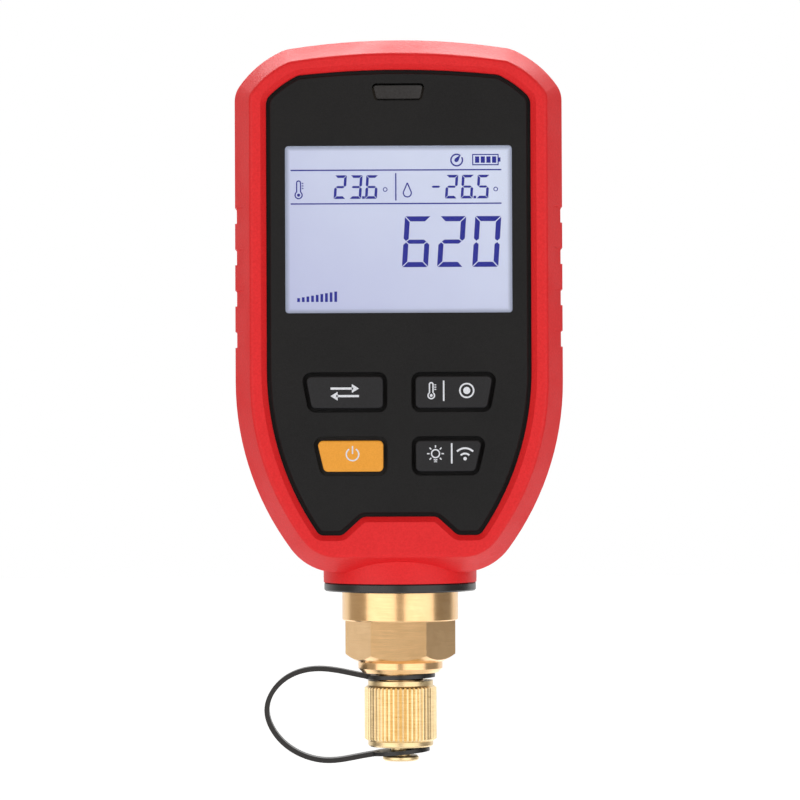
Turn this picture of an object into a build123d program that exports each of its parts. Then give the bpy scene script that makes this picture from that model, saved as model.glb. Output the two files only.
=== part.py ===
"""Wireless vacuum gauge: a hand-held case with a display and four keys over a brass flare fitting.

Millimetres. X points right and Z up as the user reads the display, and the front faces -Y.
The origin is the centre of the flare nose, the lower end of the male port, on the port's axis.
"""

import math
import os

from build123d import *

os.makedirs("parts", exist_ok=True)


# Case sizes
case_top = 158.3
case_half_width = 37.2
case_depth = 40.0
crown_radius = 162.0
crown_half_width = 25.5
corner_drop = 10.1
corner_radius = 23.6
crown_blend = 7.0
corner_blend = 6.0
taper_start = 80.6
taper_radius = 64.0
case_bottom = 37.3
bottom_blend = 13.0
facet_width = 3.75
facet_depth = 7.0
edge_round = 1.0
cover_wall = 2.2
shell_wall = 2.0
flange_thickness = 2.2
seam_groove_depth = 0.35
seam_groove_half = 0.25

# Grip notches in the sides of the case
grip_count = 4
grip_pitch = 9.4
grip_center = 104.3
grip_height = 3.6
grip_depth = 0.4
grip_wrap = 1.9

# Black front panel
panel_half_width = 29.1
panel_top = 150.2
panel_crown_radius = 212.0
panel_crown_half_width = 22.4
panel_shoulder = 144.1
panel_taper_start = 83.0
panel_taper_radius = 64.0
panel_bottom = 46.6
tongue_base_half = 13.3
tongue_top_half = 8.7
tongue_top = 50.8
panel_corner = 1.2
tongue_corner = 3.2
panel_recess = 0.8
panel_groove = 0.8
panel_edge = 0.25
rear_panel_drop = 0.4
cover_bevel = 1.2

# Neck, collar and the brass fitting
neck_radius = 17.65
neck_bottom = 34.7
neck_wall = 2.2
neck_floor = 4.0
neck_overlap = 8.0
collar_radius = 17.5
collar_thickness = 2.0
collar_edge = 0.3
shoulder_radius = 13.4
shoulder_bottom = 25.9
shoulder_edge = 0.25
hex_flats = 22.0
hex_turn = -2.2
hex_corner_bottom = 18.1
hex_bottom = 16.3
hex_bevel_crown = 20.0
flange_radius = 9.75
flange_bottom = 13.85
flange_chamfer = 1.0
stem_radius = 9.0
stem_length = 11.85
port_pitch_radius = 5.15
port_bore_radius = 2.0
nose_radius = 3.0
chamber_radius = 5.6
chamber_depth = 4.5
lock_nut_flats = 22.0
lock_nut_height = 4.2
stem_clearance = 0.05

# Flare cap, its seal and the tether strap
thread_clearance = 0.05
cap_rim_top = 12.0
cap_rim_radius = 7.5
cap_rim_height = 1.05
knurl_radius = 8.3
knurl_count = 48
knurl_groove = 0.45
knurl_chamfer = 0.6
knurl_bottom = -1.95
cap_bottom = -3.15
cap_edge = 0.35
seal_thickness = 1.3
seal_clearance = 0.1
post_radius = 2.25
post_length = 2.1
button_radius = 4.15
button_thickness = 1.2
strap_width = 4.0
strap_thickness = 1.1
ring_band = 2.15
ring_room = 0.7
ring_thickness = 0.9
ring_height = 13.0
ring_tilt = 1.7
eyelet_outer = 6.7
eyelet_inner = 2.65
eyelet_thickness = 0.9
eyelet_height = -4.3
eyelet_tilt = 5.0

# Display stack, front to back
window_width = 51.3
window_height = 37.8
window_center = 114.9
window_corner = 0.8
window_recess = 0.3
window_flange = 1.75
window_flange_thickness = 0.8
window_fit = 0.05
rebate_depth = 1.7
rebate_fit = 0.2
glass_thickness = 2.0
backlight_thickness = 2.6
stack_gap = 0.1
tray_wall = 1.4
tray_floor = 0.8
connector_height = 2.4
connector_inset = 2.6

# Keys
key_gap = 0.95
key_corner = 1.1
key_rise = 0.7
key_flange = 0.9
key_flange_thickness = 1.0
key_edge = 0.35
key_inner = 3.65
key_outer_tops = (21.1, 18.65)
key_outer_bottoms = (19.75, 17.0)
key_row_tops = (81.7, 67.2)
key_row_bottoms = (74.5, 60.2)
key_places = {"unit": (-1, 0), "record": (1, 0), "power": (-1, 1), "backlight": (1, 1)}
key_travel = 0.8
stem_side = 5.0
switch_side = 6.0
switch_height = 3.0
plunger_radius = 1.6
plunger_proud = 0.6
plunger_room = 0.4
switch_floor = 0.3
plunger_clearance = 0.1

# Status lens above the display
lens_center = 145.9
lens_top_width = 11.1
lens_bottom_width = 9.8
lens_height = 2.94
lens_gap = 0.5
lens_flange = 0.9
lens_flange_thickness = 1.0
lamp_width = 3.2
lamp_tall = 1.6
lamp_height = 1.1
lamp_gap = 0.3
guide_width = 3.6
guide_tall = 2.0

# Main board and what is on it
board_front = 9.0
board_thickness = 1.6
board_half_width = 28.6
board_top = 149.3
board_bottom = 53.0
board_foot_half = 13.5
board_foot_top = 57.0
board_waist = (20.0, 60.0)
board_taper_top = 76.0
board_head_half = 18.0
board_head_low = 140.0
board_hole_radius = 1.2
board_boss_radius = 2.2
board_screw_places = ((25.2, 88.0), (14.0, 145.4))
board_screw_radius = 0.9
board_screw_reach = 4.5
screw_head_height = 1.4
case_boss_radius = 2.8
case_screw_places = ((22.3, 144.3), (17.6, 53.2))
case_screw_radius = 1.2
case_screw_head_radius = 2.2
case_screw_seat = 12.0
case_screw_reach = 7.0
screw_clearance = 0.15
boss_overlap = 0.6
buzzer_at = (-18.0, 131.0)
buzzer_radius = 6.0
buzzer_height = 3.5
buzzer_port = 1.0
radio_middle = 14.0
radio_low = 124.0
radio_width = 18.0
radio_height = 13.0
radio_board = 0.8
radio_can_height = 2.0
radio_margin = 1.0
radio_aerial = 5.0

# Battery compartment in the rear shell
cell_radius = 7.1
cell_length = 50.2
cell_nub_radius = 2.7
cell_nub = 1.2
cell_edge = 0.5
cell_spacing = 0.6
tub_side = 2.1
tub_bottom = 80.5
tub_wall = 1.5
tub_back_gap = 0.7
spring_length = 4.2
spring_strip = 0.4
contact_width = 9.0
contact_thickness = 0.5
cell_gap = 0.3
door_thickness = 1.9
door_ledge = 1.5
door_clearance = 0.15
door_tongue = 8.6
door_corner = 2.0
door_edge = 0.3
door_counterbore = 0.8
door_boss_length = 5.0
door_hole_depth = 4.0
door_screw_reach = 3.5
finger_rib_width = 16.0
finger_rib_height = 1.2
finger_rib_pitch = 3.0
finger_rib_depth = 0.5
finger_rib_count = 4
finger_rib_rise = 14.0

# Sensor stack inside the fitting
seal_outer = 5.4
seal_inner = 3.6
seal_height = 1.5
can_radius = 3.2
header_radius = 5.4
header_thickness = 1.0
pin_circle = 2.5
pin_count = 4
pin_radius = 0.25
pin_proud = 0.6
spacer_inner = 4.3
sensor_board_radius = 9.0
sensor_board_thickness = 1.0
clamp_radius = 11.3
clamp_lip = 7.6
clamp_skirt = 1.5
clamp_gap = 0.3
flex_width = 8.0
flex_thickness = 0.3
flex_plug = 2.2
flex_plug_width = 3.0
flex_plug_depth = 4.0
flex_plug_low = 60.0

# Places worked out from the sizes above
front_y = case_depth / 2
facet_slope = facet_width / facet_depth
facet_start = front_y - facet_depth
crown_drop = crown_radius - math.sqrt(crown_radius**2 - crown_half_width**2)
cover_floor = front_y - flange_thickness
plate_inner = cover_floor - shell_wall
panel_face = front_y - panel_recess
panel_rear_face = front_y - rear_panel_drop
rebate_floor = cover_floor - (shell_wall - rebate_depth)
glass_front = rebate_floor - window_flange_thickness - stack_gap
glass_back = glass_front - glass_thickness
backlight_back = glass_back - backlight_thickness
rebate_half_width = window_width / 2 + window_flange + rebate_fit
rebate_half_height = window_height / 2 + window_flange + rebate_fit
cavity_inset = cover_wall + shell_wall
neck_top = case_bottom + neck_overlap
neck_shell_radius = neck_radius - neck_wall
neck_bore_radius = neck_shell_radius - shell_wall
floor_top = neck_bottom + neck_floor
collar_bottom = neck_bottom - collar_thickness
stem_top = collar_bottom + stem_length
board_back = board_front - board_thickness
chamber_floor = stem_top - chamber_depth
cap_bore_radius = port_pitch_radius + thread_clearance
ring_inner = port_pitch_radius + ring_room
ring_outer = ring_inner + ring_band
door_seat = panel_rear_face - door_thickness
cell_pitch = 2 * cell_radius + cell_spacing
tub_half_width = cell_pitch + cell_radius + tub_side
tub_floor = door_seat - tub_back_gap - 2 * cell_radius - cell_gap
tub_top = tub_bottom + spring_length + cell_length + 2 * cell_gap + contact_thickness
switch_front = board_front + switch_height
key_stem_end = switch_front + key_travel + plunger_proud


def keep(builder, name):
    """Label a finished piece and write it."""
    builder.part.label = name
    export_step(builder.part, f"parts/{name}.step")


with BuildSketch() as case_outline:
    # Half the outline, from the crown down to the neck, mirrored across
    crown_side = (crown_half_width, case_top - crown_drop)
    corner_end = (case_half_width, case_top - crown_drop - corner_drop)
    taper_drop = taper_start - case_bottom
    taper_end = (case_half_width - taper_radius + math.sqrt(taper_radius**2 - taper_drop**2), case_bottom)
    with BuildLine():
        ThreePointArc((-crown_side[0], crown_side[1]), (0, case_top), crown_side)
        RadiusArc(crown_side, corner_end, corner_radius)
        Line(corner_end, (case_half_width, taper_start))
        RadiusArc((case_half_width, taper_start), taper_end, taper_radius)
        Line(taper_end, (0, case_bottom))
        mirror(about=Plane.YZ)
    make_face()
    crown_points = [v for v in case_outline.vertices() if abs(v.Y - crown_side[1]) < 0.01]
    fillet(crown_points, crown_blend)
    corner_points = [v for v in case_outline.vertices() if abs(v.Y - corner_end[1]) < 0.01]
    fillet(corner_points, corner_blend)
    bottom_points = [
        v for v in case_outline.vertices() if abs(v.Y - case_bottom) < 0.01 and abs(v.X) > 1
    ]
    fillet(bottom_points, bottom_blend)


def panel_profile(with_tongue):
    """The front panel's outline, with or without the notch for the cover's tongue."""
    crown_z = panel_top - panel_crown_radius + math.sqrt(panel_crown_radius**2 - panel_crown_half_width**2)
    crown = (panel_crown_half_width, crown_z)
    shoulder = (panel_half_width, panel_shoulder)
    drop = panel_taper_start - panel_bottom
    corner = (panel_half_width - panel_taper_radius + math.sqrt(panel_taper_radius**2 - drop**2), panel_bottom)
    with BuildSketch() as profile:
        with BuildLine():
            ThreePointArc((-crown[0], crown[1]), (0, panel_top), crown)
            RadiusArc(crown, shoulder, corner_radius)
            Line(shoulder, (panel_half_width, panel_taper_start))
            RadiusArc((panel_half_width, panel_taper_start), corner, panel_taper_radius)
            if with_tongue:
                Polyline(corner, (tongue_base_half, panel_bottom), (tongue_top_half, tongue_top), (0, tongue_top))
            else:
                Line(corner, (0, panel_bottom))
            mirror(about=Plane.YZ)
        make_face()
        fillet([v for v in profile.vertices() if v.Y > panel_shoulder - 0.01], 2 * panel_corner)
        fillet([v for v in profile.vertices() if v.Y < panel_bottom + 0.01 and abs(v.X) > 1], panel_corner)
        if with_tongue:
            fillet([v for v in profile.vertices() if abs(v.Y - tongue_top) < 0.01 and abs(v.X) > 1], tongue_corner)
    return profile.sketch_local


def drawn_in(profile, amount, depth):
    """A profile of lines and arcs drawn in by amount, standing at a depth counted positive towards the front."""
    grown = offset(profile, -amount, kind=Kind.INTERSECTION, mode=Mode.PRIVATE) if amount else profile
    with BuildSketch(Plane.XZ.offset(depth)) as section:
        with BuildLine():
            for edge in grown.edges():
                if edge.geom_type == GeomType.LINE:
                    Line(edge @ 0, edge @ 1)
                else:
                    ThreePointArc(edge @ 0, edge @ 0.5, edge @ 1)
        make_face()
    return section.sketch


def case_block(side, inset, reach):
    """Case outline drawn in by inset, out to reach in front (side 1) or behind (side -1), with its facet."""
    start = facet_start - inset * math.tan(math.atan(facet_slope) / 2)
    with BuildPart() as block:
        extrude(drawn_in(case_outline.sketch_local, inset, 0), amount=side * reach)
        outer_face = block.faces().sort_by(Axis((0, 0, 0), (0, -side, 0)))[-1]
        chamfer(outer_face.edges(), (reach - start) * facet_slope, reach - start, reference=outer_face)
        if not inset:
            outer_face = block.faces().sort_by(Axis((0, 0, 0), (0, -side, 0)))[-1]
            fillet(outer_face.edges(), edge_round)
    return block.part


def half_disc(side, radius, low, high, mode=Mode.ADD):
    """Half of a cylinder about the port's axis, in front (side 1) or behind (side -1), between two heights."""
    with BuildSketch(Plane.XY.offset(low)) as disc:
        Circle(radius)
        with Locations((0, -side * radius / 2)):
            Rectangle(2 * radius, radius, mode=Mode.INTERSECT)
    extrude(disc.sketch, amount=high - low, mode=mode)


def slab(profile, near, far, mode=Mode.ADD):
    """Extrude a local profile between two depths, counted positive towards the front."""
    extrude(drawn_in(profile, 0, near), amount=far - near, mode=mode)


def both_sides(places):
    """Each place and its mirror image across the case."""
    return [(side * x, z) for x, z in places for side in (-1, 1)]


def posts(places, radius, near, far, mode=Mode.ADD):
    """Round posts or holes at the given places between two depths."""
    with BuildSketch(Plane.XZ.offset(near)) as discs:
        with Locations(*places):
            Circle(radius)
    extrude(discs.sketch, amount=far - near, mode=mode)


def wedge(points, corner, grow):
    """A filleted straight-sided profile, grown all round by grow."""
    with BuildSketch() as profile:
        with BuildLine():
            Polyline(*points, close=True)
        make_face()
        fillet(profile.vertices(), corner)
        if grow:
            offset(amount=grow)
    return profile.sketch_local


def key_profile(name, grow=0.0):
    """Outline of one key, with its slanted outer end."""
    side, row = key_places[name]
    low, high = key_row_bottoms[row], key_row_tops[row]
    points = [
        (side * key_inner, low),
        (side * key_inner, high),
        (side * key_outer_tops[row], high),
        (side * key_outer_bottoms[row], low),
    ]
    return wedge(points, key_corner, grow)


def key_center(name):
    """Middle of one key across and up."""
    side, row = key_places[name]
    outer = (key_outer_tops[row] + key_outer_bottoms[row]) / 2
    return side * (key_inner + outer) / 2, (key_row_tops[row] + key_row_bottoms[row]) / 2


def lens_profile(grow=0.0):
    """Outline of the status lens."""
    low, high = lens_center - lens_height / 2, lens_center + lens_height / 2
    points = [
        (-lens_bottom_width / 2, low),
        (lens_bottom_width / 2, low),
        (lens_top_width / 2, high),
        (-lens_top_width / 2, high),
    ]
    return wedge(points, lens_gap, grow)


def box_profile(width, low, high, corner=0.0, middle=0.0):
    """A rectangle between two heights."""
    with BuildSketch() as profile:
        with Locations((middle, (low + high) / 2)):
            Rectangle(width, high - low)
        if corner:
            fillet(profile.vertices(), corner)
    return profile.sketch_local


def grip_notches():
    """Cut the row of grip notches into both sides, round onto the facets."""
    wrap = grip_wrap / facet_slope
    floor = case_half_width - grip_depth
    for side in (-1, 1):
        points = [
            (side * floor, -facet_start),
            (side * (floor - grip_wrap), -facet_start - wrap),
            (side * (case_half_width + 1), -facet_start - wrap),
            (side * (case_half_width + 1), facet_start + wrap),
            (side * (floor - grip_wrap), facet_start + wrap),
            (side * floor, facet_start),
        ]
        for index in range(grip_count):
            middle = grip_center + (index - (grip_count - 1) / 2) * grip_pitch
            with BuildSketch(Plane.XY.offset(middle - grip_height / 2)) as notch:
                with BuildLine():
                    Polyline(*points, close=True)
                make_face()
            extrude(notch.sketch, amount=grip_height, mode=Mode.SUBTRACT)


def cover_opening(side, panel):
    """What is cut from the cover's flange round the panel: a throat and a bevel at its outer edge."""
    bevel_start = front_y - cover_bevel
    with BuildPart() as opening:
        extrude(drawn_in(panel, -panel_groove - cover_bevel, side * bevel_start), amount=side * 2 * cover_bevel)
        inner_face = opening.faces().sort_by(Axis((0, 0, 0), (0, -side, 0)))[0]
        chamfer(inner_face.edges(), cover_bevel)
        extrude(drawn_in(panel, -panel_groove, side * cover_floor), amount=side * flange_thickness)
    return opening.part


def hollow(side):
    """Room inside one shell, narrower in front of its walls where the facets draw them in."""
    step = facet_start - cavity_inset * math.tan(math.atan(facet_slope) / 2)
    with BuildPart() as room:
        extrude(drawn_in(case_outline.sketch_local, cavity_inset, 0), amount=side * step)
        extrude(drawn_in(rear_panel, -shell_wall, side * step), amount=side * (plate_inner - step))
    return room.part


def seam_ring(side):
    """What the shallow groove takes from one cover, round the case where its halves meet."""
    outline = case_outline.sketch_local
    with BuildPart() as ring:
        extrude(drawn_in(outline, -1, 0), amount=side * seam_groove_half)
        extrude(drawn_in(outline, seam_groove_depth, 0), amount=side * seam_groove_half, mode=Mode.SUBTRACT)
        slab(box_profile(2 * neck_radius + 1, case_bottom - 2, case_bottom + 2), -1, 1, Mode.SUBTRACT)
    return ring.part


def screw(places, head_near, head_far, head_radius, shank_radius, shank_far):
    """Round-headed screws with a cross slot, driven from behind towards the front."""
    posts(places, head_radius, head_near, head_far)
    posts(places, shank_radius, head_far, shank_far)
    slot_width, slot_depth = head_radius / 3, (head_far - head_near) / 2
    with BuildSketch(Plane.XZ.offset(head_near)) as slots:
        with Locations(*places):
            Rectangle(1.4 * head_radius, slot_width)
            Rectangle(slot_width, 1.4 * head_radius)
    extrude(slots.sketch, amount=slot_depth, mode=Mode.SUBTRACT)


def bent_strip(points, thickness, bend, middle, width):
    """A flat strip bent along points given as depth (Y) and height, centred on an upright plane."""
    with BuildSketch(Plane.YZ.offset(middle)) as strip:
        with BuildLine() as path:
            FilletPolyline(*points, radius=bend)
        trace(path.line, thickness)
    extrude(strip.sketch, amount=width / 2, both=True)


front_panel = panel_profile(True)
rear_panel = panel_profile(False)
case_screws_at = both_sides(case_screw_places)
board_screws_at = both_sides(board_screw_places)
door_screw_at = [(0, tub_bottom - tub_wall - case_boss_radius + boss_overlap)]
door_low = tub_bottom - door_tongue
door_high = tub_top + door_ledge
door_half_width = tub_half_width + door_ledge
window_low = window_center - window_height / 2
window_high = window_center + window_height / 2

# Red cover over the front half, open round the front panel
front_cavity = case_block(1, cover_wall, cover_floor)
front_opening = cover_opening(1, front_panel)
front_seam = seam_ring(1)
with BuildPart() as front_bumper:
    add(case_block(1, 0, front_y))
    half_disc(1, neck_radius, neck_bottom, neck_top)
    add(front_cavity, mode=Mode.SUBTRACT)
    half_disc(1, neck_shell_radius, neck_bottom, neck_top, Mode.SUBTRACT)
    add(front_opening, mode=Mode.SUBTRACT)
    add(front_seam, mode=Mode.SUBTRACT)
    grip_notches()
keep(front_bumper, "front_bumper")

# Red cover over the rear half, open round the rear panel
rear_cavity = case_block(-1, cover_wall, cover_floor)
rear_opening = cover_opening(-1, rear_panel)
rear_seam = seam_ring(-1)
with BuildPart() as rear_bumper:
    add(case_block(-1, 0, front_y))
    half_disc(-1, neck_radius, neck_bottom, neck_top)
    add(rear_cavity, mode=Mode.SUBTRACT)
    half_disc(-1, neck_shell_radius, neck_bottom, neck_top, Mode.SUBTRACT)
    add(rear_opening, mode=Mode.SUBTRACT)
    add(rear_seam, mode=Mode.SUBTRACT)
    grip_notches()
keep(rear_bumper, "rear_bumper")

# Black front shell: walls, raised panel, openings for display, keys and lens, and its bosses
front_hollow = hollow(1)
with BuildPart() as front_shell:
    add(front_cavity)
    half_disc(1, neck_shell_radius, neck_bottom, neck_top)
    add(front_hollow, mode=Mode.SUBTRACT)
    half_disc(1, neck_bore_radius, floor_top, neck_top + shell_wall, Mode.SUBTRACT)
    half_disc(1, stem_radius + stem_clearance, neck_bottom, floor_top, Mode.SUBTRACT)
    slab(front_panel, cover_floor, panel_face)
    chamfer(front_shell.faces().sort_by(Axis.Y)[0].outer_wire().edges(), panel_edge)
    posts(case_screws_at, case_boss_radius, 0, plate_inner)
    posts(board_screws_at, board_boss_radius, board_front, plate_inner)
    posts(case_screws_at, case_screw_radius + stem_clearance, 0, case_screw_reach + 1, Mode.SUBTRACT)
    posts(board_screws_at, board_screw_radius + stem_clearance, board_front, board_front + board_screw_reach,
          Mode.SUBTRACT)
    slab(box_profile(window_width, window_low, window_high, window_corner), plate_inner, panel_face, Mode.SUBTRACT)
    slab(box_profile(2 * rebate_half_width, window_center - rebate_half_height,
                     window_center + rebate_half_height), plate_inner, rebate_floor, Mode.SUBTRACT)
    for name in key_places:
        slab(key_profile(name, key_gap), plate_inner, panel_face, Mode.SUBTRACT)
    slab(lens_profile(lens_gap), plate_inner, panel_face, Mode.SUBTRACT)
keep(front_shell, "front_shell")

# Black rear shell: walls, flat rear panel, battery tub and bosses
rear_hollow = hollow(-1)
with BuildPart() as rear_shell:
    add(rear_cavity)
    half_disc(-1, neck_shell_radius, neck_bottom, neck_top)
    add(rear_hollow, mode=Mode.SUBTRACT)
    half_disc(-1, neck_bore_radius, floor_top, neck_top + shell_wall, Mode.SUBTRACT)
    half_disc(-1, stem_radius + stem_clearance, neck_bottom, floor_top, Mode.SUBTRACT)
    slab(rear_panel, -cover_floor, -panel_rear_face)
    slab(box_profile(2 * (tub_half_width + tub_wall), tub_bottom - tub_wall, tub_top + tub_wall),
         -plate_inner, tub_wall - tub_floor)
    posts(case_screws_at, case_boss_radius, -plate_inner, 0)
    posts(door_screw_at, case_boss_radius, -plate_inner, -plate_inner + door_boss_length)
    slab(box_profile(2 * tub_half_width, tub_bottom, tub_top), -front_y, -tub_floor, Mode.SUBTRACT)
    slab(box_profile(2 * door_half_width, door_low, door_high, door_corner), -front_y, -door_seat, Mode.SUBTRACT)
    posts(case_screws_at, case_screw_head_radius + screw_clearance, -front_y, -case_screw_seat, Mode.SUBTRACT)
    posts(case_screws_at, case_screw_radius + screw_clearance, -case_screw_seat, 0, Mode.SUBTRACT)
    posts(door_screw_at, case_screw_radius + stem_clearance, -door_seat, -plate_inner + door_hole_depth,
          Mode.SUBTRACT)
keep(rear_shell, "rear_shell")

# Battery door, flush with the rear panel, and the screw that holds it
with BuildPart() as battery_door:
    slab(box_profile(2 * (door_half_width - door_clearance), door_low + door_clearance,
                     door_high - door_clearance, door_corner - door_clearance), -panel_rear_face, -door_seat)
    chamfer(battery_door.faces().sort_by(Axis.Y)[-1].edges(), door_edge)
    posts(door_screw_at, case_screw_head_radius + screw_clearance, -front_y, -door_seat - door_counterbore,
          Mode.SUBTRACT)
    posts(door_screw_at, case_screw_radius + screw_clearance, -front_y, -door_seat, Mode.SUBTRACT)
    for row in range(finger_rib_count):
        rib_low = door_low + finger_rib_rise + finger_rib_pitch * row
        slab(box_profile(finger_rib_width, rib_low, rib_low + finger_rib_height), -panel_rear_face,
             -panel_rear_face + finger_rib_depth, Mode.SUBTRACT)
keep(battery_door, "battery_door")

with BuildPart() as battery_door_screw:
    screw(door_screw_at, -panel_rear_face + stack_gap, -door_seat - door_counterbore, case_screw_head_radius,
          case_screw_radius, -plate_inner + door_screw_reach)
keep(battery_door_screw, "battery_door_screw")

with BuildPart() as case_screws:
    screw(case_screws_at, -case_screw_seat - screw_head_height, -case_screw_seat, case_screw_head_radius,
          case_screw_radius, case_screw_reach)
keep(case_screws, "case_screws")

# Display: clear window from behind the panel, then glass, light plate, tray and connector strip
with BuildPart() as display_window:
    slab(box_profile(window_width - 2 * window_fit, window_low + window_fit, window_high - window_fit,
                     window_corner), rebate_floor, panel_face - window_recess)
    slab(box_profile(window_width + 2 * window_flange, window_low - window_flange, window_high + window_flange,
                     window_corner), rebate_floor - window_flange_thickness, rebate_floor)
keep(display_window, "display_window")

glass_half_width = window_width / 2 + window_flange - window_fit
glass_low = window_low - window_flange
glass_high = window_high + window_flange
with BuildPart() as lcd_glass:
    slab(box_profile(2 * glass_half_width, glass_low, glass_high), glass_back, glass_front)
keep(lcd_glass, "lcd_glass")

with BuildPart() as lcd_backlight:
    slab(box_profile(2 * glass_half_width, glass_low + connector_height + connector_inset, glass_high),
         backlight_back, glass_back)
keep(lcd_backlight, "lcd_backlight")

tray_half_width = glass_half_width + stack_gap + tray_wall
with BuildPart() as lcd_tray:
    slab(box_profile(2 * tray_half_width, glass_low - stack_gap - tray_wall, glass_high + stack_gap + tray_wall),
         board_front, plate_inner - stack_gap)
    slab(box_profile(2 * (tray_half_width - tray_wall), glass_low - stack_gap, glass_high + stack_gap),
         backlight_back, front_y, Mode.SUBTRACT)
    slab(box_profile(2 * (tray_half_width - 2 * tray_wall), glass_low + connector_height + 2 * connector_inset,
                     glass_high - 2 * tray_wall), board_front, backlight_back - tray_floor, Mode.SUBTRACT)
    slab(box_profile(2 * glass_half_width - 6, glass_low + connector_inset / 2 - stack_gap,
                     glass_low + connector_inset / 2 + connector_height + stack_gap),
         board_front, front_y, Mode.SUBTRACT)
keep(lcd_tray, "lcd_tray")

with BuildPart() as lcd_connector:
    slab(box_profile(2 * glass_half_width - 7, glass_low + connector_inset / 2,
                     glass_low + connector_inset / 2 + connector_height), board_front, glass_back)
keep(lcd_connector, "lcd_connector")

# Main board, shaped round the case bosses
with BuildPart() as main_board:
    with BuildSketch(Plane.XZ.offset(board_back)):
        with BuildLine():
            Polyline(
                (0, board_bottom),
                (board_foot_half, board_bottom),
                (board_foot_half, board_foot_top),
                board_waist,
                (board_half_width, board_taper_top),
                (board_half_width, board_head_low),
                (board_head_half, board_head_low),
                (board_head_half, board_top),
                (0, board_top),
            )
            mirror(about=Plane.YZ)
        make_face()
    extrude(amount=board_thickness)
    posts(board_screws_at, board_hole_radius, board_back, board_front, Mode.SUBTRACT)
keep(main_board, "main_board")

with BuildPart() as board_screws:
    screw(board_screws_at, board_back - screw_head_height, board_back, board_boss_radius - 0.2,
          board_screw_radius, board_front + board_screw_reach - 0.5)
keep(board_screws, "board_screws")

# Keys, each a cap with a flange behind the panel and a stem on its switch plunger
for name in key_places:
    with BuildPart() as key:
        slab(key_profile(name), plate_inner, panel_face + key_rise)
        fillet(key.faces().sort_by(Axis.Y)[0].edges(), key_edge)
        slab(key_profile(name, key_gap + key_flange), plate_inner - key_flange_thickness, plate_inner)
        with BuildSketch(Plane.XZ.offset(key_stem_end)):
            with Locations(key_center(name)):
                Rectangle(stem_side, stem_side)
        extrude(amount=plate_inner - key_flange_thickness - key_stem_end)
    keep(key, f"key_{name}")
    with BuildPart() as plunger:
        posts([key_center(name)], plunger_radius, board_front + key_travel + plunger_room, key_stem_end)
    keep(plunger, f"plunger_{name}")

with BuildPart() as key_switches:
    for name in key_places:
        with BuildSketch(Plane.XZ.offset(board_front)):
            with Locations(key_center(name)):
                Rectangle(switch_side, switch_side)
        extrude(amount=switch_height)
        posts([key_center(name)], plunger_radius + plunger_clearance, board_front + switch_floor, switch_front,
              Mode.SUBTRACT)
keep(key_switches, "key_switches")

# Status lens with its light guide, and the lamp behind it
with BuildPart() as status_lens:
    slab(lens_profile(), plate_inner, panel_face - window_recess)
    slab(lens_profile(lens_gap + lens_flange), plate_inner - lens_flange_thickness, plate_inner)
    slab(box_profile(guide_width, lens_center - guide_tall / 2, lens_center + guide_tall / 2),
         board_front + lamp_height + lamp_gap, plate_inner)
keep(status_lens, "status_lens")

with BuildPart() as status_lamp:
    slab(box_profile(lamp_width, lens_center - lamp_tall / 2, lens_center + lamp_tall / 2),
         board_front, board_front + lamp_height)
keep(status_lamp, "status_lamp")

# Buzzer and radio module on the back of the main board
with BuildPart() as buzzer:
    posts([buzzer_at], buzzer_radius, board_back - buzzer_height, board_back)
    chamfer(buzzer.faces().sort_by(Axis.Y)[-1].edges(), key_edge)
    posts([buzzer_at], buzzer_port, board_back - buzzer_height, board_back - buzzer_height / 2, Mode.SUBTRACT)
keep(buzzer, "buzzer")

with BuildPart() as radio_module:
    radio_back = board_back - radio_board
    slab(box_profile(radio_width, radio_low, radio_low + radio_height, 0, radio_middle), radio_back, board_back)
    slab(box_profile(radio_width - radio_margin - radio_aerial, radio_low + radio_margin,
                     radio_low + radio_height - radio_margin, 0, radio_middle - radio_aerial / 2 + radio_margin / 2),
         radio_back - radio_can_height, radio_back)
keep(radio_module, "radio_module")

# Three cells side by side, the middle one turned over, with their springs and contacts
cell_depth = tub_floor + cell_gap + cell_radius
tub_middle = (tub_bottom + tub_top) / 2
cell_low = tub_bottom + spring_length + cell_gap


def turned(height, flip):
    """A height in the tub, or its mirror image when the cell is turned over."""
    return 2 * tub_middle - height if flip else height


cells_at = [(-cell_pitch, False), (0.0, True), (cell_pitch, False)]

with BuildPart() as cells:
    for middle, flip in cells_at:
        way = -1 if flip else 1
        base = turned(cell_low, flip)
        with BuildSketch(Plane.XY.offset(base)) as can:
            with Locations((middle, cell_depth)):
                Circle(cell_radius)
        extrude(amount=way * (cell_length - cell_nub))
        with BuildSketch(Plane.XY.offset(base + way * (cell_length - cell_nub))) as nub:
            with Locations((middle, cell_depth)):
                Circle(cell_nub_radius)
        extrude(amount=way * cell_nub)
    chamfer([e for e in cells.edges().filter_by(GeomType.CIRCLE) if abs(e.radius - cell_radius) < 0.01], cell_edge)
keep(cells, "cells")

with BuildPart() as battery_springs:
    for middle, flip in cells_at:
        heights = (spring_strip / 2, spring_strip / 2, spring_length - spring_strip / 2, spring_length - 1.6)
        depths = (cell_depth - 3.5, cell_depth + 3.5, cell_depth - 1.0, cell_depth - 4.0)
        points = [(y, turned(tub_bottom + z, flip)) for y, z in zip(depths, heights)]
        bent_strip(points, spring_strip, spring_strip, middle, contact_width / 2)
keep(battery_springs, "battery_springs")

with BuildPart() as battery_contacts:
    for middle, flip in cells_at:
        plate_low = turned(tub_top - contact_thickness / 2, flip) - contact_thickness / 2
        with BuildSketch(Plane.XY.offset(plate_low)):
            with Locations((middle, cell_depth)):
                RectangleRounded(contact_width, contact_width, 1.0)
        extrude(amount=contact_thickness)
keep(battery_contacts, "battery_contacts")

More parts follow.
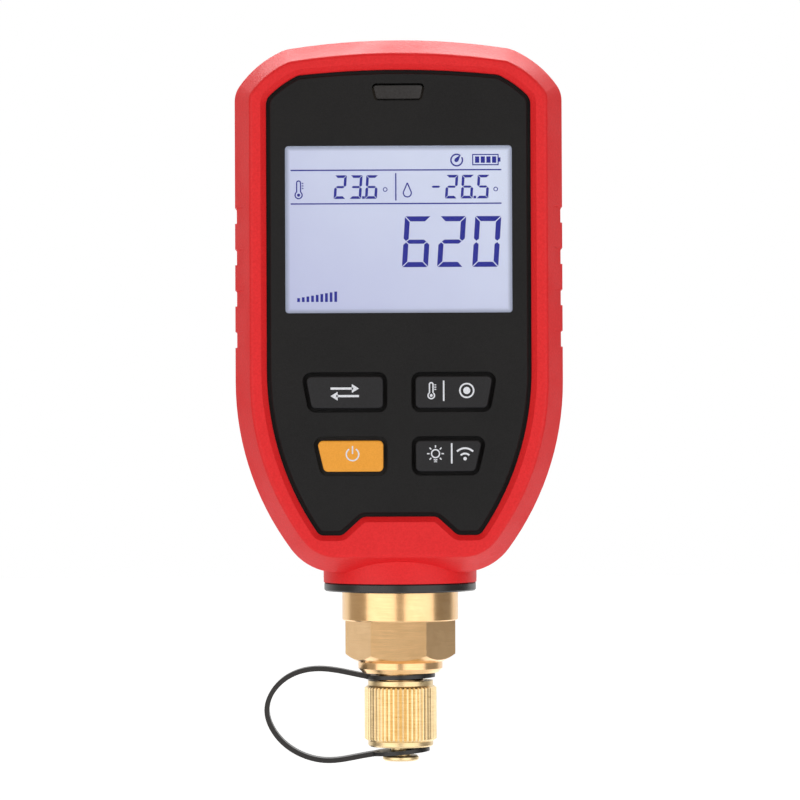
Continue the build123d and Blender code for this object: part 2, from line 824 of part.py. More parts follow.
# Brass fitting: one turning with a hexagon, the port below and the sensor chamber above
hex_corner = hex_flats / math.sqrt(3)
with BuildPart() as flare_fitting:
    with BuildSketch(Plane.XY.offset(hex_bottom)):
        RegularPolygon(hex_flats / 2, 6, major_radius=False, rotation=hex_turn)
    extrude(amount=shoulder_bottom - hex_bottom)
    with BuildSketch(Plane.XZ):
        with BuildLine():
            Line((0, hex_bottom), (flange_radius, hex_bottom))
            RadiusArc((flange_radius, hex_bottom), (hex_corner, hex_corner_bottom), -hex_bevel_crown)
            Polyline((hex_corner, hex_corner_bottom), (hex_corner + 1, hex_corner_bottom),
                     (hex_corner + 1, shoulder_bottom), (0, shoulder_bottom), (0, hex_bottom))
        make_face()
    revolve(axis=Axis.Z, mode=Mode.INTERSECT)
    with BuildSketch(Plane.XZ):
        with BuildLine():
            Polyline(
                (0, 0),
                (nose_radius, 0),
                (port_pitch_radius, port_pitch_radius - nose_radius),
                (port_pitch_radius, flange_bottom),
                (flange_radius - flange_chamfer, flange_bottom),
                (flange_radius, flange_bottom + flange_chamfer),
                (flange_radius, hex_bottom),
                (0, hex_bottom),
                close=True,
            )
        make_face()
    revolve(axis=Axis.Z)
    with BuildSketch(Plane.XY.offset(shoulder_bottom)):
        Circle(shoulder_radius)
    extrude(amount=collar_bottom - shoulder_bottom)
    rims = flare_fitting.edges().filter_by(GeomType.CIRCLE)
    chamfer(rims.filter_by_position(Axis.Z, shoulder_bottom, collar_bottom), shoulder_edge)
    with BuildSketch(Plane.XY.offset(collar_bottom)):
        Circle(stem_radius)
    extrude(amount=stem_length)
    with BuildSketch(Plane.XY):
        Circle(port_bore_radius)
    extrude(amount=chamber_floor, mode=Mode.SUBTRACT)
    with BuildSketch(Plane.XY.offset(chamber_floor)):
        Circle(chamber_radius)
    extrude(amount=chamber_depth, mode=Mode.SUBTRACT)
keep(flare_fitting, "flare_fitting")

# Gasket ring between the neck and the brass shoulder
with BuildPart() as collar_gasket:
    with BuildSketch(Plane.XY.offset(collar_bottom)):
        Circle(collar_radius)
        Circle(stem_radius + stem_clearance, mode=Mode.SUBTRACT)
    extrude(amount=collar_thickness)
    chamfer(collar_gasket.edges().filter_by(GeomType.CIRCLE).group_by(SortBy.RADIUS)[-1], collar_edge)
keep(collar_gasket, "collar_gasket")

# Nut that clamps the fitting to the floor of the neck
with BuildPart() as lock_nut:
    with BuildSketch(Plane.XY.offset(floor_top)):
        RegularPolygon(lock_nut_flats / 2, 6, major_radius=False)
        Circle(stem_radius + stem_clearance, mode=Mode.SUBTRACT)
    extrude(amount=lock_nut_height)
keep(lock_nut, "lock_nut")

# Sensor stack, from the chamber floor up
with BuildPart() as sensor_seal:
    with BuildSketch(Plane.XY.offset(chamber_floor)):
        Circle(seal_outer)
        Circle(seal_inner, mode=Mode.SUBTRACT)
    extrude(amount=seal_height)
keep(sensor_seal, "sensor_seal")

header_low = chamber_floor + seal_height
board_low = stem_top
pin_top = board_low + sensor_board_thickness + pin_proud
with BuildPart() as sensor_element:
    with BuildSketch(Plane.XY.offset(header_low)):
        Circle(header_radius)
    extrude(amount=header_thickness)
    with BuildSketch(Plane.XY.offset(header_low)):
        Circle(can_radius)
    extrude(amount=-seal_height / 2)
    with BuildSketch(Plane.XY.offset(header_low + header_thickness)):
        with PolarLocations(pin_circle, pin_count, start_angle=45):
            Circle(pin_radius)
    extrude(amount=pin_top - header_low - header_thickness)
keep(sensor_element, "sensor_element")

with BuildPart() as sensor_spacer:
    with BuildSketch(Plane.XY.offset(header_low + header_thickness)):
        Circle(header_radius)
        Circle(spacer_inner, mode=Mode.SUBTRACT)
    extrude(amount=board_low - header_low - header_thickness)
keep(sensor_spacer, "sensor_spacer")

with BuildPart() as sensor_board:
    with BuildSketch(Plane.XY.offset(board_low)):
        Circle(sensor_board_radius)
        with PolarLocations(pin_circle, pin_count, start_angle=45):
            Circle(pin_radius + stem_clearance, mode=Mode.SUBTRACT)
    extrude(amount=sensor_board_thickness)
keep(sensor_board, "sensor_board")

clamp_low = floor_top + lock_nut_height + clamp_gap
clamp_shelf = board_low + sensor_board_thickness
with BuildPart() as sensor_clamp:
    with BuildSketch(Plane.XY.offset(clamp_low)):
        Circle(clamp_radius)
    extrude(amount=clamp_shelf + clamp_skirt - clamp_low)
    with BuildSketch(Plane.XY.offset(clamp_low)):
        Circle(sensor_board_radius + stem_clearance)
    extrude(amount=clamp_shelf - clamp_low, mode=Mode.SUBTRACT)
    with BuildSketch(Plane.XY.offset(clamp_shelf)):
        Circle(clamp_lip)
    extrude(amount=clamp_skirt, mode=Mode.SUBTRACT)
keep(sensor_clamp, "sensor_clamp")

# Flex from the sensor board up to the main board, with a connector at each end
flex_low = clamp_shelf + flex_plug
flex_back = -board_back + flex_plug + flex_thickness / 2
flex_high = flex_plug_low + flex_plug_width
with BuildPart() as flex_connectors:
    with BuildSketch(Plane.XY.offset(clamp_shelf)):
        with Locations((0, flex_plug_depth)):
            Rectangle(flex_width + 2, flex_plug_width)
    extrude(amount=flex_plug)
    slab(box_profile(flex_width + 2, flex_plug_low, flex_high), board_back - flex_plug, board_back)
keep(flex_connectors, "flex_connectors")

with BuildPart() as sensor_flex:
    rise = flex_plug_low - flex_low
    route = [
        (flex_plug_depth, flex_low),
        (flex_plug_depth, flex_low + 0.3 * rise),
        (flex_back, flex_low + 0.6 * rise),
        (flex_back, flex_high - flex_plug_width / 4),
    ]
    bent_strip(route, flex_thickness, 2.0, 0.0, flex_width)
keep(sensor_flex, "sensor_flex")

# Knurled flare cap: turned body with its button, then the grooves
rim_low = cap_rim_top - cap_rim_height
knurl_top = rim_low - knurl_chamfer
with BuildPart() as flare_cap:
    with BuildSketch(Plane.XZ):
        with BuildLine():
            Polyline(
                (cap_bore_radius + cap_edge, cap_rim_top),
                (cap_rim_radius, cap_rim_top),
                (cap_rim_radius, rim_low),
                (knurl_radius, knurl_top),
                (knurl_radius, knurl_bottom + knurl_chamfer),
                (cap_rim_radius, knurl_bottom),
                (cap_rim_radius, cap_bottom + cap_edge),
                (cap_rim_radius - cap_edge, cap_bottom),
                (post_radius, cap_bottom),
                (post_radius, cap_bottom - post_length),
                (button_radius - cap_edge, cap_bottom - post_length),
                (button_radius, cap_bottom - post_length - cap_edge),
                (button_radius, cap_bottom - post_length - button_thickness + cap_edge),
                (button_radius - cap_edge, cap_bottom - post_length - button_thickness),
                (0, cap_bottom - post_length - button_thickness),
                (0, -seal_thickness),
                (cap_bore_radius, -seal_thickness),
                (cap_bore_radius, cap_rim_top - cap_edge),
                close=True,
            )
        make_face()
    revolve(axis=Axis.Z)
    groove_half = math.pi * knurl_radius / knurl_count * 0.8
    with BuildSketch(Plane.XY.offset(knurl_bottom - 1)):
        with PolarLocations(knurl_radius, knurl_count):
            Polygon((-knurl_groove, 0), (0.1, groove_half), (0.1, -groove_half), align=None)
    extrude(amount=rim_low + 2 - knurl_bottom, mode=Mode.SUBTRACT)
keep(flare_cap, "flare_cap")

# Seal disc in the cap, on the flare nose
with BuildPart() as cap_seal:
    with BuildSketch(Plane.XY.offset(-seal_thickness)):
        Circle(cap_bore_radius - seal_clearance)
    extrude(amount=seal_thickness)
keep(cap_seal, "cap_seal")


def tilted(height, tilt):
    """A level plane at a height, turned up at its right side by tilt degrees."""
    lean = math.radians(tilt)
    return Plane((0, 0, height), x_dir=(math.cos(lean), 0, math.sin(lean)), z_dir=(-math.sin(lean), 0, math.cos(lean)))


# Tether strap: a ring round the port thread, an eyelet round the cap's post and the strip between
strap_route = (
    (-6.9, 12.8),
    (-12.0, 13.85),
    (-20.2, 14.7),
    (-27.1, 12.1),
    (-30.8, 5.6),
    (-28.9, -0.1),
    (-24.2, -4.3),
    (-17.0, -6.35),
    (-10.0, -5.5),
    (-4.9, -4.73),
)
with BuildPart() as cap_strap:
    with BuildSketch(tilted(ring_height, ring_tilt)):
        Circle(ring_outer)
        Circle(ring_inner, mode=Mode.SUBTRACT)
    extrude(amount=ring_thickness / 2, both=True)
    with BuildSketch(tilted(eyelet_height, eyelet_tilt)):
        Circle(eyelet_outer)
        Circle(eyelet_inner, mode=Mode.SUBTRACT)
    extrude(amount=eyelet_thickness / 2, both=True)
    with BuildSketch(Plane.XZ) as strip:
        with BuildLine() as strip_path:
            Spline(*strap_route)
        trace(strip_path.line, strap_thickness)
    extrude(strip.sketch, amount=strap_width / 2, both=True)
keep(cap_strap, "cap_strap")
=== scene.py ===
"""Looks of the wireless vacuum gauge, in metres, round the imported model.

The gauge hangs over a pale floor in front of a white backdrop, lit by two front soft boxes and a top one,
and is seen from where the photograph was taken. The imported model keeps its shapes. What is added here is
the printing on the keys, what the display shows, the port's and cap's threads, and every finish.
"""

import math

import bmesh
import bpy
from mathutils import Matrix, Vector


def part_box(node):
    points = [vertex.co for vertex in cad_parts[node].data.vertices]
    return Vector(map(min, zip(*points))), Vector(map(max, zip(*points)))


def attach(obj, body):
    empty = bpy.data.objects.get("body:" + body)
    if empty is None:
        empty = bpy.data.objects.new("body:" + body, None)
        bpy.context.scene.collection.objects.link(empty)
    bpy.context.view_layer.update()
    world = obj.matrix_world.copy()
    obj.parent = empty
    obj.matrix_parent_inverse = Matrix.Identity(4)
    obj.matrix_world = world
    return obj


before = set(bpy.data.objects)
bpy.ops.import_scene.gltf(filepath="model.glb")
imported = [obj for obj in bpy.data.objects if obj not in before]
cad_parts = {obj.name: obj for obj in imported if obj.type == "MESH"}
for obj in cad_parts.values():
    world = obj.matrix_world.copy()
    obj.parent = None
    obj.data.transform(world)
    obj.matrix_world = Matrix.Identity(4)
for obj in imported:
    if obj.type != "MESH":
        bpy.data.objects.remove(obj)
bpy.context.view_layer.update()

MM = 0.001
scene = bpy.context.scene
scene.view_settings.view_transform = "Standard"

# The photograph's view: a long lens, nearly level, rolled by part of a degree
CAMERA_DISTANCE = 821 * MM
CAMERA_HEIGHT = 65 * MM
CAMERA_AIM = (0.15 * MM, 0, 76.6 * MM)
CAMERA_LENS = 160
CAMERA_SENSOR = 36
CAMERA_ROLL = -0.24

# The studio: the soft boxes' aim, sizes and powers, the floor, and the white wall behind the gauge
GAUGE_MIDDLE = (0, 0, 75 * MM)
FRONT_BOX = {"width": 0.77, "height": 0.74, "power": 2.2}
TOP_BOX = {"width": 0.9, "height": 0.6, "power": 7.5}
FLOOR_LEVEL = -250 * MM
FLOOR_REACH = 8.0
FLOOR_GLOW = 0.8
WALL_LEAN = -0.03
WALL_STARTS = 0.45
WALL_FULL = 0.66

# Depths of the faces that carry printing, from the model, and the ink's thickness
KEY_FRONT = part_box("key_unit")[0][1]
GLASS_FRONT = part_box("lcd_glass")[0][1]
INK = 0.03 * MM

# The display's window, the stretches over which its light grows, and the painted shade inside the window's
# edge
WINDOW_HALF_WIDTH = 25.65 * MM
WINDOW_HALF_HEIGHT = 18.9 * MM
WINDOW_MIDDLE = 114.9 * MM
GLOW_ACROSS = (-26 * MM, 26 * MM)
GLOW_UPWARD = (95 * MM, 135 * MM)
PAINTED_EDGE_SHADE = (0.3 * MM, 1.1 * MM)

# Where the power key turns black, as painted shade in the gap round its orange cap, and where the cells turn
# coppery, and half the width of that change
ORANGE_ENDS = -18.6 * MM
BAND_STARTS = 122 * MM
COLOR_STEP = 0.1 * MM

# How far apart a moulding's slow changes of roughness lie
DRIFT_LENGTH = 12 * MM

# The thread on the port and in the cap
THREAD_PITCH = 1.27 * MM
THREAD_RADIUS = 5.15 * MM
THREAD_DEPTH = 0.4 * MM


def link_object(name, data):
    """Put new data into the scene as an object at the origin."""
    made = bpy.data.objects.new(name, data)
    scene.collection.objects.link(made)
    return made


def add_node(tree, kind, inputs=None, **settings):
    """Add a node, set its properties, and fill or connect its inputs."""
    made = tree.nodes.new(kind)
    for key, value in settings.items():
        setattr(made, key, value)
    for key, value in (inputs or {}).items():
        if isinstance(value, bpy.types.NodeSocket):
            tree.links.new(value, made.inputs[key])
        else:
            made.inputs[key].default_value = value
    return made


def calc(tree, operation, first, second=0.0, third=0.0):
    """One step of arithmetic in a node tree."""
    made = add_node(tree, "ShaderNodeMath", {0: first, 1: second, 2: third}, operation=operation)
    return made.outputs[0]


def blend_colors(tree, factor, first, second):
    """Mix two colours, each three numbers or a socket, by a factor."""
    ends = [end if isinstance(end, bpy.types.NodeSocket) else (*end, 1) for end in (first, second)]
    # The node has sockets for every kind of value: its colours are inputs 6 and 7 and output 2
    made = add_node(tree, "ShaderNodeMix", {0: factor, 6: ends[0], 7: ends[1]}, data_type="RGBA")
    return made.outputs[2]


def spread(tree, value, low, high, start=0.0, end=1.0):
    """Map a value from start to end onto low to high."""
    made = add_node(tree, "ShaderNodeMapRange", {0: value, 1: start, 2: end, 3: low, 4: high})
    return made.outputs[0]


def place_on(tree):
    """Where a point lies on its piece, in metres, the same however the piece has moved."""
    return add_node(tree, "ShaderNodeTexCoord").outputs["Object"]


def new_group(name, inputs, outputs):
    """Start a shader node group with named number sockets."""
    group = bpy.data.node_groups.new(name, "ShaderNodeTree")
    for label, value in inputs.items():
        socket = group.interface.new_socket(label, in_out="INPUT", socket_type="NodeSocketFloat")
        socket.default_value = value
    for label in outputs:
        group.interface.new_socket(label, in_out="OUTPUT", socket_type="NodeSocketFloat")
    return group, group.nodes.new("NodeGroupInput").outputs, group.nodes.new("NodeGroupOutput")


def moulded_grain_group():
    """Spark-eroded mould grain: fine pits, and a slow drift from handling."""
    group, sizes, end = new_group("Moulded grain", {"Grain": 0.3}, ["Height", "Tone", "Drift"])
    place = place_on(group)
    fine_scale = calc(group, "DIVIDE", 1 / MM, sizes["Grain"])
    fine = add_node(group, "ShaderNodeTexNoise", {"Vector": place, "Scale": fine_scale, "Detail": 2.0})
    pits = add_node(group, "ShaderNodeTexVoronoi", {"Vector": place, "Scale": fine_scale})
    slow = add_node(group, "ShaderNodeTexNoise", {"Vector": place, "Scale": 1 / DRIFT_LENGTH, "Detail": 4.0})
    height = calc(group, "MULTIPLY_ADD", pits.outputs["Distance"], 0.5, fine.outputs["Fac"])
    group.links.new(height, end.inputs["Height"])
    group.links.new(spread(group, fine.outputs["Fac"], 0, 1, 0.3, 0.7), end.inputs["Tone"])
    group.links.new(spread(group, slow.outputs["Fac"], 0, 1, 0.35, 0.65), end.inputs["Drift"])
    return group


def tool_lines_group():
    """Fine lines that a lathe or a brush leaves round the port's axis, stacked along it."""
    group, sizes, end = new_group("Tool lines", {"Pitch": 0.12, "Length": 6.0}, ["Height", "Streak", "Stain"])
    place = place_on(group)
    along = calc(group, "DIVIDE", 1 / MM, sizes["Pitch"])
    round_about = calc(group, "DIVIDE", 1 / MM, sizes["Length"])
    stretch = add_node(group, "ShaderNodeCombineXYZ", {0: round_about, 1: round_about, 2: along})
    lined = add_node(group, "ShaderNodeVectorMath", {0: place, 1: stretch.outputs[0]}, operation="MULTIPLY")
    lines = add_node(group, "ShaderNodeTexNoise", {"Vector": lined.outputs[0], "Scale": 1.0, "Detail": 3.0})
    stain = add_node(group, "ShaderNodeTexNoise", {"Vector": place, "Scale": 0.35 / MM, "Detail": 5.0})
    group.links.new(lines.outputs["Fac"], end.inputs["Height"])
    group.links.new(spread(group, lines.outputs["Fac"], 0, 1, 0.3, 0.7), end.inputs["Streak"])
    group.links.new(spread(group, stain.outputs["Fac"], 0, 1, 0.4, 0.68), end.inputs["Stain"])
    return group


MOULDED_GRAIN = moulded_grain_group()
TOOL_LINES = tool_lines_group()


def new_material(name, **sockets):
    """A material with its Principled shader's plain sockets set."""
    material = bpy.data.materials.new(name)
    material.use_nodes = True
    shader = material.node_tree.nodes["Principled BSDF"]
    for label, value in sockets.items():
        shader.inputs[label.replace("_", " ")].default_value = value
    return material, material.node_tree, shader


def moulded(name, dark, light, rough, grain, bump, **sockets):
    """Moulded plastic or rubber: two close tones, a grain, and a roughness that drifts."""
    material, tree, shader = new_material(name, **sockets)
    surface = add_node(tree, "ShaderNodeGroup", node_tree=MOULDED_GRAIN)
    surface.inputs["Grain"].default_value = grain
    color = blend_colors(tree, surface.outputs["Tone"], dark, light)
    tree.links.new(color, shader.inputs["Base Color"])
    tree.links.new(spread(tree, surface.outputs["Drift"], *rough), shader.inputs["Roughness"])
    relief = add_node(tree, "ShaderNodeBump",
                      {"Height": surface.outputs["Height"], "Strength": bump, "Distance": grain * MM / 3})
    tree.links.new(relief.outputs[0], shader.inputs["Normal"])
    return material


def turned_metal(name, dark, light, rough, pitch, length, bump):
    """Turned or brushed metal: tool lines in tone, roughness and relief, with a little staining."""
    material, tree, shader = new_material(name, Metallic=1.0)
    surface = add_node(tree, "ShaderNodeGroup", node_tree=TOOL_LINES)
    surface.inputs["Pitch"].default_value = pitch
    surface.inputs["Length"].default_value = length
    tone = calc(tree, "MULTIPLY_ADD", surface.outputs["Stain"], -0.35, surface.outputs["Streak"])
    color = blend_colors(tree, tone, dark, light)
    tree.links.new(color, shader.inputs["Base Color"])
    tree.links.new(spread(tree, surface.outputs["Streak"], *rough), shader.inputs["Roughness"])
    relief = add_node(tree, "ShaderNodeBump",
                      {"Height": surface.outputs["Height"], "Strength": bump, "Distance": pitch * MM / 4})
    tree.links.new(relief.outputs[0], shader.inputs["Normal"])
    return material


def second_color(material, axis, change, color):
    """Give a finish another colour beyond a place along an axis."""
    tree = material.node_tree
    shader = tree.nodes["Principled BSDF"]
    first = shader.inputs["Base Color"].links[0].from_socket
    along = add_node(tree, "ShaderNodeSeparateXYZ", {0: place_on(tree)}).outputs[axis]
    beyond = spread(tree, along, 0, 1, change - COLOR_STEP, change + COLOR_STEP)
    tree.links.new(blend_colors(tree, beyond, first, color), shader.inputs["Base Color"])
    return material


def display_material():
    """Backlit display: brighter at the top right, mottled by its light plate, and darker at the window's edge
    with painted shade.
    """
    material, tree, shader = new_material("Backlit display", Roughness=0.35, Emission_Strength=0.82)
    place = place_on(tree)
    parts = add_node(tree, "ShaderNodeSeparateXYZ", {0: place})
    across = spread(tree, parts.outputs["X"], 0, 0.5, *GLOW_ACROSS)
    upward = spread(tree, parts.outputs["Z"], 0, 0.5, *GLOW_UPWARD)
    mottle = add_node(tree, "ShaderNodeTexNoise", {"Vector": place, "Scale": 0.08 / MM, "Detail": 3.0})
    slope = calc(tree, "ADD", across, upward)
    level = calc(tree, "MULTIPLY_ADD", mottle.outputs["Fac"], 0.3, slope)
    shine = blend_colors(tree, calc(tree, "SUBTRACT", level, 0.15), (0.50, 0.53, 0.77), (0.69, 0.75, 0.90))
    rim = None
    for axis, middle, half in (("X", 0.0, WINDOW_HALF_WIDTH), ("Z", WINDOW_MIDDLE, WINDOW_HALF_HEIGHT)):
        off_middle = calc(tree, "ABSOLUTE", calc(tree, "SUBTRACT", parts.outputs[axis], middle))
        inside = calc(tree, "SUBTRACT", half, off_middle)
        rim = inside if rim is None else calc(tree, "MINIMUM", rim, inside)
    # Painted shade: the glow turns darker and greyer close inside the window's edge
    shine = blend_colors(tree, spread(tree, rim, 0, 1, *PAINTED_EDGE_SHADE), (0.30, 0.34, 0.46), shine)
    tree.links.new(shine, shader.inputs["Emission Color"])
    unlit = blend_colors(tree, level, (0.10, 0.11, 0.15), (0.14, 0.15, 0.2))
    tree.links.new(unlit, shader.inputs["Base Color"])
    return material


def segment_material():
    """Dark blue of the display's driven segments, let down a little by the light behind."""
    material, tree, shader = new_material("Display segments", Roughness=0.4, Emission_Strength=1.0,
                                          Specular_IOR_Level=0.05)
    place = place_on(tree)
    mottle = add_node(tree, "ShaderNodeTexNoise", {"Vector": place, "Scale": 0.6 / MM, "Detail": 2.0})
    shade = blend_colors(tree, mottle.outputs["Fac"], (0.002, 0.012, 0.25), (0.006, 0.018, 0.30))
    tree.links.new(shade, shader.inputs["Emission Color"])
    tree.links.new(blend_colors(tree, mottle.outputs["Fac"], (0.002, 0.002, 0.01), (0.003, 0.003, 0.015)),
                   shader.inputs["Base Color"])
    return material


def window_material():
    """Clear window with a faint haze of fine scratches."""
    material, tree, shader = new_material("Clear window", Transmission_Weight=1.0, IOR=1.49)
    shader.inputs["Base Color"].default_value = (0.98, 0.99, 1.0, 1)
    place = place_on(tree)
    haze = add_node(tree, "ShaderNodeTexNoise", {"Vector": place, "Scale": 0.3 / MM, "Detail": 3.0})
    tree.links.new(spread(tree, haze.outputs["Fac"], 0.0, 0.03, 0.4, 0.7), shader.inputs["Roughness"])
    return material


def board_material():
    """Green solder mask over a grid of tracks."""
    material = moulded("Solder mask", (0.01, 0.10, 0.035), (0.015, 0.15, 0.05), (0.25, 0.4),
                       grain=0.5, bump=0.05)
    tree = material.node_tree
    shader = tree.nodes["Principled BSDF"]
    mask = shader.inputs["Base Color"].links[0].from_socket
    place = place_on(tree)
    tracks = add_node(tree, "ShaderNodeTexBrick",
                      {"Vector": place, "Scale": 0.12 / MM, "Mortar Size": 0.06, "Color1": (0, 0, 0, 1),
                       "Color2": (0, 0, 0, 1), "Mortar": (1, 1, 1, 1)})
    color = blend_colors(tree, tracks.outputs["Color"], mask, (0.03, 0.22, 0.07))
    tree.links.new(color, shader.inputs["Base Color"])
    return material


COVER_RED = moulded("Red soft cover", (0.72, 0.009, 0.011), (0.80, 0.014, 0.017), (0.42, 0.52),
                    grain=0.42, bump=0.28, Specular_IOR_Level=0.32)
PANEL_BLACK = moulded("Black panel", (0.005, 0.005, 0.0055), (0.009, 0.009, 0.0095), (0.5, 0.6),
                      grain=0.22, bump=0.2, Specular_IOR_Level=0.2)
KEY_BLACK = moulded("Black key", (0.012, 0.012, 0.0135), (0.016, 0.016, 0.0185), (0.45, 0.55),
                    grain=0.25, bump=0.08, Specular_IOR_Level=0.25)
WHITE_PRINT = moulded("White print", (0.66, 0.67, 0.71), (0.78, 0.79, 0.83), (0.45, 0.6),
                      grain=0.2, bump=0.05)
BRASS = turned_metal("Turned brass", (0.81, 0.515, 0.25), (0.94, 0.64, 0.34), (0.19, 0.25),
                     pitch=0.09, length=6.0, bump=0.12)
KNURLED_BRASS = turned_metal("Knurled brass", (0.76, 0.575, 0.305), (0.92, 0.73, 0.435), (0.27, 0.37),
                             pitch=0.3, length=3.0, bump=0.1)
ORANGE = moulded("Orange key", (0.81, 0.32, 0.016), (0.88, 0.36, 0.024), (0.38, 0.48),
                 grain=0.25, bump=0.06)
SLEEVE = moulded("Cell sleeve", (0.02, 0.022, 0.026), (0.03, 0.032, 0.036), (0.22, 0.32),
                 grain=0.6, bump=0.03)
SEGMENTS = segment_material()

FINISHES = {
    "front_bumper": COVER_RED,
    "rear_bumper": COVER_RED,
    "front_shell": PANEL_BLACK,
    "rear_shell": PANEL_BLACK,
    "battery_door": moulded("Battery door", (0.016, 0.016, 0.0165), (0.026, 0.026, 0.0265), (0.46, 0.56),
                            grain=0.24, bump=0.2),
    "display_window": window_material(),
    "lcd_glass": display_material(),
    "lcd_backlight": moulded("Light plate", (0.70, 0.72, 0.76), (0.80, 0.82, 0.86), (0.3, 0.4),
                             grain=0.8, bump=0.04),
    "lcd_tray": moulded("White tray", (0.62, 0.62, 0.60), (0.70, 0.70, 0.68), (0.45, 0.55),
                        grain=0.4, bump=0.08),
    "lcd_connector": moulded("Striped rubber", (0.05, 0.05, 0.05), (0.2, 0.18, 0.16), (0.5, 0.6),
                             grain=0.3, bump=0.1),
    "status_lens": moulded("Smoked lens", (0.020, 0.0205, 0.023), (0.027, 0.0275, 0.030), (0.2, 0.3),
                           grain=0.5, bump=0.03),
    "status_lamp": moulded("Lamp body", (0.72, 0.72, 0.62), (0.82, 0.82, 0.72), (0.2, 0.3),
                           grain=0.3, bump=0.05),
    "key_unit": KEY_BLACK,
    "key_record": KEY_BLACK,
    "key_backlight": KEY_BLACK,
    # The power key is black deeper than its orange cap: painted shade for the gap round the key
    "key_power": second_color(ORANGE, "Y", ORANGE_ENDS, (0.012, 0.012, 0.012)),
    "key_switches": moulded("Switch case", (0.02, 0.02, 0.02), (0.03, 0.03, 0.03), (0.35, 0.45),
                            grain=0.3, bump=0.1),
    "buzzer": moulded("Buzzer case", (0.014, 0.014, 0.014), (0.022, 0.022, 0.022), (0.4, 0.5),
                      grain=0.3, bump=0.1),
    "main_board": board_material(),
    "sensor_board": board_material(),
    "radio_module": turned_metal("Tinned can", (0.5, 0.5, 0.5), (0.66, 0.66, 0.66), (0.3, 0.42),
                                 pitch=0.4, length=4.0, bump=0.05),
    "sensor_element": turned_metal("Sensor can", (0.55, 0.54, 0.5), (0.7, 0.69, 0.65), (0.22, 0.34),
                                   pitch=0.2, length=4.0, bump=0.05),
    "battery_springs": turned_metal("Nickel spring", (0.6, 0.58, 0.54), (0.76, 0.74, 0.7), (0.15, 0.25),
                                    pitch=0.2, length=3.0, bump=0.05),
    "battery_contacts": turned_metal("Nickel plate", (0.6, 0.58, 0.54), (0.76, 0.74, 0.7), (0.18, 0.3),
                                     pitch=0.2, length=3.0, bump=0.05),
    "cells": second_color(SLEEVE, "Z", BAND_STARTS, (0.45, 0.19, 0.08)),
    "flare_fitting": BRASS,
    "lock_nut": BRASS,
    "flare_cap": KNURLED_BRASS,
    "collar_gasket": moulded("Collar gasket", (0.010, 0.010, 0.010), (0.016, 0.015, 0.015), (0.26, 0.36),
                             grain=0.5, bump=0.05),
    "sensor_seal": moulded("Ring seal", (0.010, 0.010, 0.010), (0.016, 0.016, 0.016), (0.3, 0.4),
                           grain=0.3, bump=0.05),
    "cap_seal": moulded("White seal", (0.66, 0.66, 0.62), (0.74, 0.74, 0.70), (0.4, 0.5),
                        grain=0.3, bump=0.05),
    "cap_strap": moulded("Black strap", (0.009, 0.008, 0.008), (0.014, 0.0125, 0.0125), (0.3, 0.4),
                         grain=0.5, bump=0.08),
    "sensor_clamp": moulded("Clamp plastic", (0.08, 0.08, 0.085), (0.11, 0.11, 0.115), (0.42, 0.52),
                            grain=0.3, bump=0.1),
    "sensor_spacer": moulded("Spacer plastic", (0.10, 0.10, 0.11), (0.13, 0.13, 0.14), (0.42, 0.52),
                             grain=0.3, bump=0.1),
    "flex_connectors": moulded("Connector plastic", (0.5, 0.48, 0.42), (0.6, 0.58, 0.5), (0.4, 0.5),
                               grain=0.3, bump=0.08),
    "sensor_flex": moulded("Amber film", (0.42, 0.18, 0.03), (0.55, 0.26, 0.05), (0.2, 0.3),
                           grain=0.8, bump=0.03),
}
for screws in ("case_screws", "board_screws", "battery_door_screw"):
    FINISHES[screws] = turned_metal("Steel " + screws, (0.16, 0.16, 0.17), (0.3, 0.3, 0.31), (0.28, 0.4),
                                    pitch=0.1, length=2.0, bump=0.08)
for plunger in ("unit", "record", "power", "backlight"):
    FINISHES["plunger_" + plunger] = moulded("Plunger " + plunger, (0.6, 0.6, 0.58), (0.7, 0.7, 0.68),
                                             (0.4, 0.5), grain=0.3, bump=0.05)

for node_name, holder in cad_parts.items():
    for slot in holder.material_slots:
        slot.material = FINISHES[node_name]


# Flat shapes for printing and display segments, as outlines of (x, z) in millimetres
def bar(low_x, low_z, high_x, high_z):
    """An upright rectangle."""
    return [(low_x, low_z), (high_x, low_z), (high_x, high_z), (low_x, high_z)]


def stroke(start, end, width):
    """A straight stroke between two points."""
    along = Vector((end[0] - start[0], end[1] - start[1])).normalized()
    across = Vector((-along.y, along.x)) * width / 2
    a, b = Vector(start), Vector(end)
    return [tuple(a - across), tuple(b - across), tuple(b + across), tuple(a + across)]


def on_circle(center, radius, turn):
    """The point on a circle at an angle in radians, counted from +X towards +Z."""
    return center[0] + radius * math.cos(turn), center[1] + radius * math.sin(turn)


def arc_band(center, radius, width, start, end, steps=40):
    """A band along an arc, from start to end in degrees, counted from +X towards +Z."""
    turns = [math.radians(start + (end - start) * k / steps) for k in range(steps + 1)]
    inner = [on_circle(center, radius - width / 2, turn) for turn in turns]
    outer = [on_circle(center, radius + width / 2, turn) for turn in reversed(turns)]
    return inner + outer


def ring(center, radius, width):
    """A closed ring, as two half bands."""
    return [arc_band(center, radius, width, 0, 180), arc_band(center, radius, width, 180, 360)]


def disc(center, radius, steps=32):
    """A filled round spot."""
    return [on_circle(center, radius, 2 * math.pi * k / steps) for k in range(steps)]


def printed(name, outlines, face, material, body, slot):
    """A thin layer of ink or film standing on a face that looks forward (-Y)."""
    layer = bmesh.new()
    for outline in outlines:
        corners = [layer.verts.new((x * MM, face, z * MM)) for x, z in outline]
        layer.faces.new(corners)
    pushed = bmesh.ops.extrude_face_region(layer, geom=layer.faces[:])
    moved = [part for part in pushed["geom"] if isinstance(part, bmesh.types.BMVert)]
    bmesh.ops.translate(layer, verts=moved, vec=(0, -INK, 0))
    bmesh.ops.recalc_face_normals(layer, faces=layer.faces)
    mesh = bpy.data.meshes.new(name)
    layer.to_mesh(mesh)
    layer.free()
    finish_piece(link_object(name, mesh), material, body)


